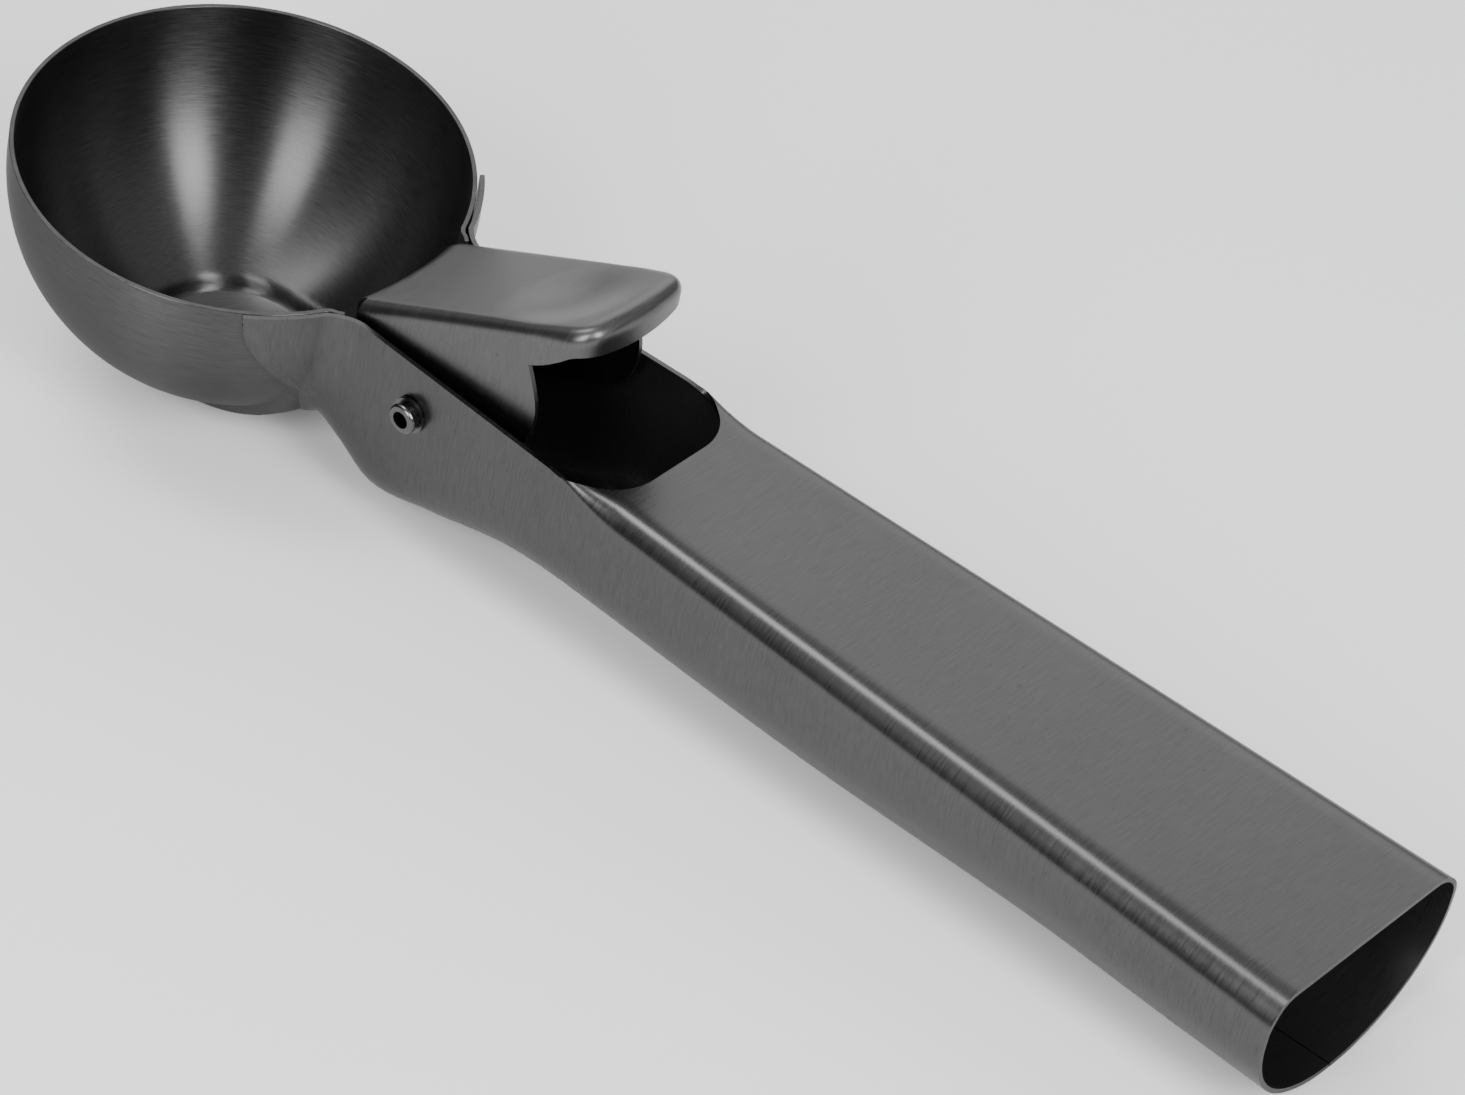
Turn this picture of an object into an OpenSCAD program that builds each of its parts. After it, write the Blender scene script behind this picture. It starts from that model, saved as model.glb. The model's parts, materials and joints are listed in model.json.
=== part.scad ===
// Trigger ice cream scoop in brushed sheet steel.
// Lengths are in millimetres. The pieces are drawn in a working frame with its
// origin at the centre of the bowl's rim, +X towards the handle and +Z out of
// the bowl, and rest_pose() then sets the scoop down on its bowl and handle end.

/* [Bowl] */
// Outer diameter of the bowl
bowl_d = 56; // [50:1:62]
// Thickness of the bowl's sheet
bowl_sheet = 0.8; // [0.6:0.1:1.2]
// Height of the straight band between the half sphere and the rim
rim_band = 2.3; // [1.5:0.1:4]
// Width of the blend on each side of the pressed channel
channel_blend = 4.2; // [3:0.1:6]
// Depth of the notch in the rim that the ejector rises through
rim_notch_depth = 4; // [3.8:0.1:6]

/* [Handle] */
// Thickness of the handle's sheet
handle_sheet = 0.8; // [0.6:0.1:1.2]
// Length of the handle from the bowl's centre to its open end
handle_len = 172; // [150:1:200]
// Width of the handle across its open end
end_w = 34.2; // [30:0.2:40]
// Depth of the open end below its widest level
end_drop = 13.6; // [11:0.1:15]
// Height of the flat top above the widest level at the open end
end_rise = 5.7; // [4:0.1:7]
// Rounding of the handle's top corners
top_round = 3; // [1.5:0.1:4]
// Width across the cheeks where they meet the bowl
neck_w = 20.7; // [20.3:0.1:24]
// Width across the handle at the rear of the thumb slot
slot_w = 25.3; // [24:0.1:30]
// Depth of the neck under the rim, at its lowest point
neck_depth = 25.2; // [24.4:0.1:28]
// Depth of the handle under the rim at its waist
waist_depth = 16.6; // [14.5:0.1:18]
// Distance from the bowl's centre to the rear of the thumb slot
slot_end = 70.3; // [66:0.1:80]
// Radius of the thumb slot's rear corners
slot_corner = 7; // [4:0.5:9]
// Distance from the rim's centre to the ears' front edge, at the rim
ear_front = 20.9; // [18:0.1:23]
// Rearward bow of the ears' front edge
ear_bow = 3.6; // [1:0.1:4]

/* [Thumb lever] */
// Thickness of the lever's sheet
lever_sheet = 0.8; // [0.6:0.1:1]
// Width of the lever and its ejector strip
lever_w = 18.5; // [16:0.1:18.9]
// Slope of the thumb plate
plate_slope = 29.9; // [26:0.1:32]
// Height of the thumb plate above the rim, at the bowl's outer edge
plate_rise = 1.6; // [1.4:0.1:2]
// Distance from the bowl's centre to the rear of the thumb pad
pad_end = 61; // [58:0.1:63]
// Radius of the thumb pad's rear corners
pad_corner = 5; // [3:0.5:7]
// Height of the skirt under the pad's edge
pad_skirt = 5.4; // [4:0.1:7]
// Radius of the fold along the plate's edges
fold_r = 1.3; // [1:0.1:2]
// Diameter of the thumb dish
dish_d = 15; // [10:0.5:17]
// Depth of the thumb dish
dish_depth = 0.8; // [0.4:0.1:1.2]
// Depth of the side flanges under the plate, measured upright
flange_drop = 19; // [18:0.1:20]
// Distance from the bowl's centre to the flanges' rear edge
flange_end = 53.3; // [50:0.1:54]
// Distance from the bowl's centre to the middle of the ejector's round tip
tip_x = 2; // [0:0.1:6]

/* [Pivot] */
// Distance from the bowl's centre to the pivot
pivot_x = 39.5; // [38.5:0.1:41]
// Depth of the pivot under the rim
pivot_drop = 6.3; // [5.6:0.1:7]
// Outer diameter of the tubular rivet
rivet_d = 3.2; // [2.6:0.1:3.4]
// Bore of the tubular rivet
rivet_bore = 2.2; // [1.6:0.1:2.3]
// Diameter of the rivet's rolled ends
rivet_head_d = 3.9; // [3.6:0.1:4.6]
// Length of each rolled end
rivet_head_len = 0.9; // [0.6:0.1:1.4]
// Outer diameter of the washers
washer_d = 4.6; // [4.2:0.1:6]
// Thickness of the washers
washer_t = 0.5; // [0.4:0.1:0.8]
// Outer diameter of the spacer sleeve
sleeve_d = 4.4; // [4.1:0.1:5]

/* [Return spring] */
// Wire diameter of the torsion spring
wire_d = 1; // [0.8:0.1:1.2]
// Mean diameter of its coils
coil_d = 6.8; // [6.4:0.1:7.4]
// Number of full coils
coil_count = 4; // [3:1:5]
// Distance from one coil to the next, centre to centre
coil_pitch = 1.5; // [1.4:0.1:1.8]
// Angle between the upper leg and the thumb plate
upper_leg_angle = 35; // [30:1:50]
// Angle of the lower leg below the rim plane
lower_leg_angle = 42; // [36:1:55]

/* [Clearances] */
// Running clearance of the lever on its sleeve, and of the rivet in its holes
running = 0.05; // [0.03:0.01:0.08]
// Gap between pieces that lie against each other
seat_gap = 0.08; // [0.05:0.01:0.15]
// Gap between the ejector strip and the bowl
ejector_gap = 0.3; // [0.25:0.05:0.4]
// Depth of the ejector strip under the bowl's inner surface
ejector_sink = 0.15; // [0.1:0.05:0.3]
// Gap between the ejector strip's sides and the rim notch
notch_gap = 0.5; // [0.4:0.1:0.8]
// Gap between the ejector strip's sides and the channel's blends
channel_gap = 0.6; // [0.4:0.1:1]

/* [Hidden] */

$fn = 96;

// Bowl and pressed channel, measured from the centre of the half sphere
bowl_r = bowl_d / 2;
bowl_in_r = bowl_r - bowl_sheet;
channel_depth = lever_sheet + ejector_gap + ejector_sink;
channel_half = lever_w / 2 + channel_gap;
notch_half = lever_w / 2 + notch_gap;
bump_r = bowl_r + channel_depth;
tip_angle = asin(tip_x / bowl_r);

// Ejector strip, a shell around the same centre
strip_out_r = bowl_in_r + channel_depth - ejector_gap;
strip_in_r = strip_out_r - lever_sheet;

// Handle
cheek_start = sqrt(bowl_r * bowl_r - neck_w * neck_w / 4);
top_slope = end_rise / (handle_len - cheek_start);
neck_x = bowl_r + 5.6;
waist_x = slot_end;
side_power_neck = 5;
side_power_end = 2;
wide_drop_neck = 2.5;
slot_edge_round = 0.75;
loft_front = 19;
floor_front = 18;
neck_rise = 2.7;
fillet_depth = 15.5;
past = 1;

// Thumb lever
plate_tan = tan(plate_slope);
lever_half = lever_w / 2;
flange_front = 5;
dish_r = (dish_d * dish_d / 4 + dish_depth * dish_depth) / (2 * dish_depth);
dish_x = pad_end - 8.6;

// Pivot
pivot_z = -pivot_drop;
rivet_hole_r = rivet_d / 2 + running;
cheek_at_pivot = half_width(pivot_x);
cheek_lean = atan2(slot_w - neck_w, 2 * (slot_end - cheek_start));
washer_seat = cheek_at_pivot + washer_d / 2 * tan(cheek_lean) + seat_gap / 2;
sleeve_half = cheek_at_pivot - handle_sheet - sleeve_d / 2 * tan(cheek_lean) - seat_gap / 2;

// Return spring
wire_sides = 6;
rings_per_coil = 8;

// Rest pose: the channel's back and the open end's lower edge both touch the ground
end_dx = handle_len;
end_dz = rim_band - end_drop;
end_reach = sqrt(end_dx * end_dx + end_dz * end_dz);
rest_tilt = asin(bump_r / end_reach) + atan2(end_dz, end_dx);
front_x = -rim_band * sin(rest_tilt) - bowl_r;
rear_x = handle_len * cos(rest_tilt) + end_rise * sin(rest_tilt);
ground_z = -rim_band * cos(rest_tilt) - bump_r;

function lerp(a, b, t) = a + (b - a) * t;
function clamp01(t) = min(1, max(0, t));
function ease(t) = clamp01(t) * clamp01(t) * (3 - 2 * clamp01(t));

// A quadratic curve through p and r that leaves both towards q
function bend(p, q, r, n) = [for (i = [0:n]) let (t = i / n)
    (1 - t) * (1 - t) * p + 2 * t * (1 - t) * q + t * t * r];

// Handle sections, as functions of the distance x from the bowl's centre
function top_z(x) = top_slope * (x - cheek_start);
function half_width(x) = x < slot_end
    ? lerp(neck_w, slot_w, (x - cheek_start) / (slot_end - cheek_start)) / 2
    : lerp(slot_w, end_w, (x - slot_end) / (handle_len - slot_end)) / 2;
function side_power(x) = lerp(side_power_neck, side_power_end,
    ease((x - neck_x) / (handle_len - neck_x) * 1.25));
function wide_z(x) = top_z(x) - lerp(wide_drop_neck, end_rise, clamp01((x - neck_x) / (handle_len - neck_x)));
function corner_r(x) = lerp(slot_edge_round, top_round, ease((x - slot_end + 9) / 12));

// Bottom line of the handle in the middle plane, through these stations
bottom_line = [
    [loft_front - 6, -floor_front + 3],
    [loft_front, -floor_front],
    [bowl_r, -neck_depth + neck_rise],
    [neck_x, -neck_depth],
    [lerp(neck_x, waist_x, 0.24), lerp(-neck_depth, -waist_depth, 0.31)],
    [lerp(neck_x, waist_x, 0.62), lerp(-neck_depth, -waist_depth, 0.86)],
    [waist_x, -waist_depth],
    [lerp(waist_x, handle_len, 0.4), -waist_depth],
    [lerp(waist_x, handle_len, 0.8), lerp(-waist_depth, -end_drop, 0.5)],
    [handle_len, -end_drop],
    [handle_len + 18, -end_drop + 1.6]
];
// Smooth curve through the stations, with each slope taken from its neighbours
function station_slope(i) =
    (bottom_line[i + 1][1] - bottom_line[i - 1][1]) / (bottom_line[i + 1][0] - bottom_line[i - 1][0]);
function span_at(x, i = 1) = (i >= len(bottom_line) - 3 || x <= bottom_line[i + 1][0]) ? i : span_at(x, i + 1);
function hermite(a, b, ma, mb, h, t) = (2 * t * t * t - 3 * t * t + 1) * a + (t * t * t - 2 * t * t + t) * h * ma
    + (3 * t * t - 2 * t * t * t) * b + (t * t * t - t * t) * h * mb;
function bottom_z(x) = let (i = span_at(x), p = bottom_line[i], q = bottom_line[i + 1], h = q[0] - p[0])
    hermite(p[1], q[1], station_slope(i), station_slope(i + 1), h, (x - p[0]) / h);

// Half of one section, from the middle of the top to the middle of the bottom
corner_steps = 5;
side_steps = 14;
function half_section(x, inset, wider) = let (
        w = half_width(x) - inset + wider,
        zt = top_z(x) - inset,
        zb = bottom_z(x) + inset,
        r = max(0.05, corner_r(x) - inset),
        zw = min(wide_z(x), zt - r - 0.1),
        p = 2 / side_power(x))
    concat(
        [[0, zt]],
        [for (i = [0:corner_steps]) let (a = 90 * i / corner_steps) [w - r + r * sin(a), zt - r + r * cos(a)]],
        [for (i = [0:side_steps]) let (a = 90 * pow(i / side_steps, 1.3))
            [w * pow(cos(a), p), zw - (zw - zb) * pow(sin(a), p)]]);
function full_section(x, inset, wider) = let (h = half_section(x, inset, wider), n = len(h))
    concat([for (q = h) [x, q[0], q[1]]], [for (i = [n - 2:-1:1]) [x, -h[i][0], h[i][1]]]);

// Closed skin through a list of rings that all have the same number of points
module skin(rings) {
    n = len(rings[0]);
    m = len(rings);
    points = [for (r = rings) for (p = r) p];
    sides = [for (j = [0:m - 2]) for (i = [0:n - 1]) let (a = j * n + i, b = j * n + (i + 1) % n)
        each [[a, b, a + n], [b, b + n, a + n]]];
    ends = [[for (i = [n - 1:-1:0]) i], [for (i = [0:n - 1]) (m - 1) * n + i]];
    polyhedron(points = points, faces = concat(sides, ends), convexity = 6);
}

// Places along the handle where its form gets a section
function loft_places(from, to) = concat(
    [from, 22.5, 26, 29, 31.5, neck_x, 36, 39, 42.5, 46.5, 51, 56, 60],
    [for (i = [1:5]) slot_end - 9 + 2.6 * i],
    [for (i = [0:11]) lerp(slot_end + 6, handle_len - 3, i / 11)],
    [to]);

module handle_form(inset, wider, to) {
    skin([for (x = loft_places(loft_front, to)) full_section(x, inset, wider)]);
}

// Distance from the bowl's cross axis to its surface of radius r, at the distance y along that axis:
// proud by channel_depth in the middle, with a straight slope on each side
function slope_foot(r) = [sqrt(r * r - pow(channel_half + channel_blend, 2)), channel_half + channel_blend];
function slope_top(r) = [sqrt(pow(r + channel_depth, 2) - channel_half * channel_half), channel_half];
function channel_rho(r, y) = y <= channel_half ? sqrt(pow(r + channel_depth, 2) - y * y)
    : y < channel_half + channel_blend
    ? lerp(slope_top(r)[0], slope_foot(r)[0], (y - channel_half) / channel_blend)
    : sqrt(r * r - y * y);

// Solid of the bowl's outer or inner form, with the pressed channel, up to a height over the rim
module bowl_form(r, over) {
    step = slope_top(r) - slope_foot(r);
    inner = slope_foot(r) - 0.3 * step;
    outer = slope_top(r) + 0.6 * step;
    arm = [[0, -inner[1]], [inner[0], -inner[1]], [outer[0], -outer[1]],
        [outer[0], outer[1]], [inner[0], inner[1]], [0, inner[1]]];
    tip = [[0, 0], [inner[1], -inner[0]], [outer[1], -outer[0]], [0, -outer[0]]];
    translate([0, 0, -rim_band]) {
        sphere(r = r);
        cylinder(r = r, h = rim_band + over);
        intersection() {
            sphere(r = r + channel_depth);
            union() {
                // Arm of the channel, from the tip up to the rim
                rotate([90, 0, 0]) rotate([0, 0, -90 + tip_angle]) rotate_extrude(angle = 100 - tip_angle) polygon(arm);
                // Round end of the channel
                rotate([0, -tip_angle, 0]) rotate_extrude() polygon(tip);
            }
        }
    }
}

module bowl() {
    color([0.33, 0.33, 0.34]) rest_pose() difference() {
        bowl_form(bowl_r, past);
        bowl_form(bowl_in_r, 2 * past);
        translate([-bowl_d, -bowl_d, 0]) cube([2 * bowl_d, 2 * bowl_d, bowl_d]);
        translate([bowl_r / 2, -notch_half, -rim_notch_depth]) cube([bowl_r, 2 * notch_half, bowl_r]);
    }
}

// Everything behind the ears' front edge, which bows towards the handle half way down
module behind_ear_edge() {
    floor_edge = [ear_front + 2.1, -floor_front - 2.5];
    edge = bend([ear_front, 0], [ear_front + ear_bow, floor_edge[1] / 2 - 1], floor_edge, 8);
    outline = concat([[ear_front, bowl_d]], edge, [[floor_edge[0], -bowl_d], [2 * handle_len, -bowl_d], [2 * handle_len, bowl_d]]);
    rotate([90, 0, 0]) linear_extrude(height = 2 * bowl_d, center = true) polygon(outline);
}

// Body of the sheet that wraps the back of the bowl: the two ears and the edge under it
module ear_wrap() {
    difference() {
        union() {
            bowl_form(bowl_r + seat_gap + handle_sheet, past);
            ear_fillet();
        }
        translate([-bowl_d, -bowl_d, 0]) cube([2 * bowl_d, 2 * bowl_d, bowl_d]);
    }
}

// Rounded inside corner between each cheek and its ear, turned about the bowl's cross axis
module ear_fillet() {
    y = neck_w / 2;
    wrap_r = bowl_r + seat_gap + handle_sheet;
    corner = [channel_rho(wrap_r, y), y];
    y_end = y + 1.8;
    on_ear = [channel_rho(wrap_r, y_end), y_end];
    profile = concat(bend(corner + [2.2, 0.1], corner, on_ear, 6), [corner - [1.2, 0.6]]);
    intersection() {
        translate([0, 0, -rim_band]) for (side = [0, 1]) mirror([0, side, 0])
            rotate([90, 0, 0]) rotate_extrude() mirror([0, 1]) polygon(profile);
        translate([ear_front, -bowl_d, -fillet_depth]) cube([bowl_r, 2 * bowl_d, bowl_d]);
    }
}

// Thumb slot between the cheeks, with rounded rear corners
module thumb_slot() {
    inner = half_width(slot_end - slot_corner) - handle_sheet;
    rear = [for (i = [0:8]) let (a = 90 * i / 8)
        [slot_end - slot_corner + slot_corner * sin(a), inner - slot_corner + slot_corner * cos(a)]];
    side = concat([[loft_front - past, half_width(loft_front - past) - handle_sheet]], rear);
    outline = concat(side, [for (i = [len(side) - 1:-1:0]) [side[i][0], -side[i][1]]]);
    translate([0, 0, -2 * handle_sheet]) linear_extrude(height = bowl_d) polygon(outline);
}

module handle() {
    color([0.3, 0.3, 0.31]) rest_pose() difference() {
        intersection() {
            union() {
                handle_form(0, 0, handle_len);
                ear_wrap();
            }
            behind_ear_edge();
        }
        handle_form(handle_sheet, 0, handle_len + past);
        bowl_form(bowl_r + seat_gap, 3 * past);
        thumb_slot();
        at_pivot() cylinder(r = rivet_hole_r, h = 2 * bowl_d, center = true);
    }
}

// Moves a shape drawn about Z onto the pivot's axis
module at_pivot() {
    translate([pivot_x, 0, pivot_z]) rotate([90, 0, 0]) children();
}

function plate_z(x) = plate_rise + plate_tan * (x - bowl_r);
function flange_z(x) = plate_z(x) - flange_drop;

// Plan of the thumb plate, set in from its outline, with rounded rear corners
module plate_plan(inset, from) {
    r = pad_corner - inset;
    half = lever_half - inset;
    translate([from, -half]) square([pad_end - pad_corner - from, 2 * half]);
    translate([from, -half + r]) square([pad_end - inset - from, 2 * (half - r)]);
    for (side = [-1, 1]) translate([pad_end - pad_corner, side * (half - r)]) circle(r = r);
}

// Puts a shape onto the sloped plate's upper face
module lean_plate() {
    translate([bowl_r, 0, plate_rise]) rotate([0, -plate_slope, 0]) children();
}

// Bar along the plate, as wide as the lever, with rolled upper edges
module rolled_bar(inset, r) {
    half = lever_half - inset;
    lean_plate() translate([-bowl_d, 0, -inset]) rotate([90, 0, 90]) linear_extrude(height = 2 * bowl_d) {
        translate([-half, -bowl_d]) square([2 * half, bowl_d - r]);
        translate([-half + r, -bowl_d]) square([2 * (half - r), bowl_d]);
        for (side = [-1, 1]) translate([side * (half - r), -r]) circle(r = r);
    }
}

// Side view of the plate's upper face, down to a level, with a rolled rear edge
module plate_side(inset, r, from, low) {
    end = pad_end - inset;
    drop = inset / cos(plate_slope);
    top = [end, plate_z(end) - drop];
    roll = bend([end, top[1] - r], top, [end - r, plate_z(end - r) - drop], 6);
    rotate([90, 0, 0]) linear_extrude(height = bowl_d, center = true)
        polygon(concat([[from, low], [end, low]], roll, [[from, plate_z(from) - drop]]));
}

// Solid under the plate, set in from the lever's outside by inset
module plate_block(inset, from, low) {
    r = fold_r - inset;
    intersection() {
        translate([0, 0, -bowl_d]) linear_extrude(height = 2 * bowl_d) plate_plan(inset, from);
        rolled_bar(inset, r);
        plate_side(inset, r, from - past, low);
    }
}

// Side view of the folded lever's lower outline: front edges, flanges, rear edges and skirt
module lever_side() {
    notch = [flange_end, plate_z(flange_end) - pad_skirt];
    rear_low = flange_z(flange_end);
    outline = concat(
        [[bowl_r / 2 + past, -rim_notch_depth + notch_gap], [bowl_r + 0.6, -rim_notch_depth + notch_gap]],
        bend([bowl_r + 3.4, pivot_z - 1], [bowl_r + 4, flange_z(bowl_r + 5)],
            [pivot_x - flange_front, flange_z(pivot_x - flange_front)], 6),
        bend([flange_end - 2.5, flange_z(flange_end - 2.5)], [flange_end + 1.3, flange_z(flange_end + 1.3)],
            [flange_end + 2.1, rear_low + 5.4], 6),
        bend([flange_end + 2.2, rear_low + 7.3], [flange_end + 2.1, notch[1] - 3.2], notch, 5),
        [[flange_end + 0.5, notch[1] + 0.8], [flange_end + 1.2, plate_z(flange_end + 1.2) - pad_skirt]],
        [[pad_end + past, plate_z(pad_end + past) - pad_skirt], [pad_end + past, bowl_d], [bowl_r / 2 + past, bowl_d]]);
    rotate([90, 0, 0]) linear_extrude(height = bowl_d, center = true) polygon(outline);
}

// Ball that presses the thumb dish, grown by the sheet's thickness for the dish's back
module dish_ball(grow) {
    translate([dish_x, 0, plate_z(dish_x)]) rotate([0, -plate_slope, 0]) translate([0, 0, dish_r - dish_depth])
        sphere(r = dish_r + grow);
}

// Back of the dish, which stands out under the plate
module dish_back() {
    intersection() {
        dish_ball(lever_sheet);
        translate([dish_x, 0, plate_z(dish_x)]) rotate([0, -plate_slope, 0]) translate([0, 0, -4 * dish_depth])
            cylinder(r = dish_d / 2 + lever_sheet, h = 4 * dish_depth - lever_sheet / 2);
    }
}

// Folded sheet of the lever, hollow underneath, with the thumb dish pressed in
module lever_fold() {
    difference() {
        union() {
            intersection() {
                difference() {
                    plate_block(0, bowl_r / 2, -bowl_r);
                    plate_block(lever_sheet, bowl_r / 2 - past, -bowl_r - past);
                }
                lever_side();
            }
            dish_back();
        }
        dish_ball(0);
    }
}

// Ball around the bowl's centre, turned so that its poles lie clear of the ejector strip
module strip_ball(r) {
    rotate([90, 0, 180]) sphere(r = r);
}

// Ejector strip: a shell inside the bowl with a round tip, up to the plate
module ejector_strip() {
    translate([0, 0, -rim_band]) intersection() {
        difference() {
            strip_ball(strip_out_r);
            strip_ball(strip_in_r);
        }
        rotate([0, -tip_angle, 0]) union() {
            translate([0, 0, -bowl_d]) cylinder(r = lever_half, h = bowl_d);
            translate([0, -lever_half, -bowl_d]) cube([bowl_d, lever_w, 2 * bowl_d]);
        }
        translate([0, 0, rim_band]) below_plate();
    }
}

// Everything under the plate's upper face
module below_plate() {
    lean_plate() translate([-2 * bowl_d, -bowl_d, -4 * bowl_d - lever_sheet / 2])
        cube([4 * bowl_d, 2 * bowl_d, 4 * bowl_d]);
}

module thumb_lever() {
    color([0.36, 0.36, 0.37]) rest_pose() difference() {
        union() {
            difference() {
                lever_fold();
                translate([0, 0, -rim_band]) strip_ball(strip_in_r + lever_sheet / 3);
            }
            ejector_strip();
        }
        at_pivot() cylinder(r = sleeve_d / 2 + running, h = 2 * bowl_d, center = true);
    }
}

// Tubular rivet with a rolled end on each side
module pivot_rivet() {
    neck_out = washer_seat + washer_t + 0.35;
    head_r = rivet_head_d / 2;
    roll = rivet_head_len / 2;
    half = [[rivet_bore / 2, 0], [rivet_d / 2, 0], [rivet_d / 2, neck_out]];
    rolled = [for (i = [0:6]) let (a = -70 + 160 * i / 6)
        [head_r - roll + roll * cos(a), neck_out + roll + roll * sin(a)]];
    profile = concat(half, rolled, [[rivet_bore / 2, neck_out + rivet_head_len]]);
    color([0.55, 0.55, 0.56]) rest_pose() at_pivot() for (side = [0, 1]) mirror([0, 0, side])
        rotate_extrude() polygon(profile);
}

module washer(side) {
    color([0.42, 0.42, 0.43]) rest_pose() at_pivot() mirror([0, 0, side]) translate([0, 0, washer_seat]) difference() {
        cylinder(d = washer_d, h = washer_t);
        translate([0, 0, -past]) cylinder(r = rivet_hole_r, h = washer_t + 2 * past);
    }
}
module near_washer() { washer(0); }
module far_washer() { washer(1); }

// Sleeve between the cheeks, which keeps them apart and carries the lever
module spacer_sleeve() {
    color([0.5, 0.5, 0.5]) rest_pose() at_pivot() difference() {
        cylinder(d = sleeve_d, h = 2 * sleeve_half, center = true);
        cylinder(r = rivet_hole_r, h = 2 * sleeve_half + past, center = true);
    }
}

// Torsion spring around the sleeve, in the plane across the pivot's axis.
// Angles run from +X towards +Z. The wire comes up the lower leg from the floor
// of the neck, winds round with falling angle and leaves along the upper leg.
coil_r = coil_d / 2;
upper_dir = plate_slope + upper_leg_angle;
upper_start = upper_dir + 90;
plate_under = (plate_z(pivot_x) - pivot_z) * cos(plate_slope) - lever_sheet;
upper_stand = plate_under - wire_d / 2 - ejector_gap - coil_r * cos(upper_leg_angle);
upper_len = upper_stand / sin(upper_leg_angle);
lower_dir = -lower_leg_angle;
lower_start = lower_dir + 270;
coil_sweep = lower_start - upper_start + 360 * coil_count;
coil_half = coil_pitch * coil_sweep / 720;
coil_rings = ceil(coil_sweep / 360 * rings_per_coil);

// A place on the wire: its middle, and the angle of its ring about the axis
function on_coil(a, y) = [[coil_r * cos(a), y, coil_r * sin(a)], a];
function on_leg(start, dir, s, y) =
    [[coil_r * cos(start) + s * cos(dir), y, coil_r * sin(start) + s * sin(dir)], start];
function over_floor(p) = pivot_z + p[2] - wire_d / 2 - bottom_z(pivot_x + p[0]) - handle_sheet;
// Length of the lower leg, walked until the wire comes down to the floor
function lower_reach(s) =
    over_floor(on_leg(lower_start, lower_dir, s, 0)[0]) <= 2 * ejector_gap ? s : lower_reach(s + 0.1);

wire = concat(
    [on_leg(lower_start, lower_dir, lower_reach(0), -coil_half)],
    [for (i = [0:coil_rings]) let (t = i / coil_rings)
        on_coil(lower_start - t * coil_sweep, lerp(-coil_half, coil_half, t))],
    [on_leg(upper_start, upper_dir, upper_len, coil_half)]);

// Least gap of the wire to itself, between places half a coil or more apart
wire_gap = min([for (i = [0:len(wire) - 1]) for (j = [i + rings_per_coil / 2 + 1:1:len(wire) - 1])
    norm(wire[i][0] - wire[j][0])]) - wire_d;
echo(least_gap_between_spring_coils = wire_gap);

module return_spring() {
    rings = [for (w = wire) [for (k = [0:wire_sides - 1]) let (b = 360 * k / wire_sides)
        w[0] + wire_d / 2 * [cos(b) * cos(w[1]), sin(b), cos(b) * sin(w[1])]]];
    color([0.6, 0.6, 0.6]) rest_pose() translate([pivot_x, 0, pivot_z]) skin(rings);
}

// Turns and lifts the scoop so that it lies on its bowl and the end of its handle
module rest_pose() {
    translate([-(front_x + rear_x) / 2, 0, -ground_z]) rotate([0, rest_tilt, 0]) children();
}

bowl();
handle();
thumb_lever();
pivot_rivet();
near_washer();
far_washer();
spacer_sleeve();
return_spring();
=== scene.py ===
"""Looks of the trigger ice cream scoop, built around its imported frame.

Lengths are in millimetres in the scoop's working frame, whose origin is the centre of the bowl's rim,
with +X towards the handle and +Z out of the bowl. TO_ROW sets it down on the ground, in metres.
Each sheet is modelled as a surface half of SHEET inside its outer face, and is then made SHEET_LOOK
thick from that outer face inwards.
"""

import json
import math

import bmesh
import bpy
from mathutils import Matrix, Quaternion, Vector


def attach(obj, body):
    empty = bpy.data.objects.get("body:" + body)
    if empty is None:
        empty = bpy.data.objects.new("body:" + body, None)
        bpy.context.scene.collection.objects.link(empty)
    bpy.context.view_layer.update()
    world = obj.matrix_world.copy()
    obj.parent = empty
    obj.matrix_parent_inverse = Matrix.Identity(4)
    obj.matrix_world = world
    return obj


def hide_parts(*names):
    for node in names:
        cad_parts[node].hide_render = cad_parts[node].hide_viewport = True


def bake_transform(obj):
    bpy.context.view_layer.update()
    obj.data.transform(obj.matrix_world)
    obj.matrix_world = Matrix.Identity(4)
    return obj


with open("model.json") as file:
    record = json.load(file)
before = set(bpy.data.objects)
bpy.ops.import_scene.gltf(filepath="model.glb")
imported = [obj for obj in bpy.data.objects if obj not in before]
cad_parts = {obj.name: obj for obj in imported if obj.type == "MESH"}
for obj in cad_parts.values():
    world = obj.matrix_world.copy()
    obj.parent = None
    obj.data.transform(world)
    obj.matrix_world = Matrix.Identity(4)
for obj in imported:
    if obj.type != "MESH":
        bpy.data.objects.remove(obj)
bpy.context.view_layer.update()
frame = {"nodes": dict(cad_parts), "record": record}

# Sheets
SHEET = 0.8
SHEET_LOOK = 0.6
EDGE_ROUND = 0.1
EDGE_ANGLE = math.radians(50)

# Bowl
BOWL_R = 28.0
RIM_BAND = 2.3
CHANNEL_BLEND = 1.9
NOTCH_DEPTH = 4.0

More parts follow.
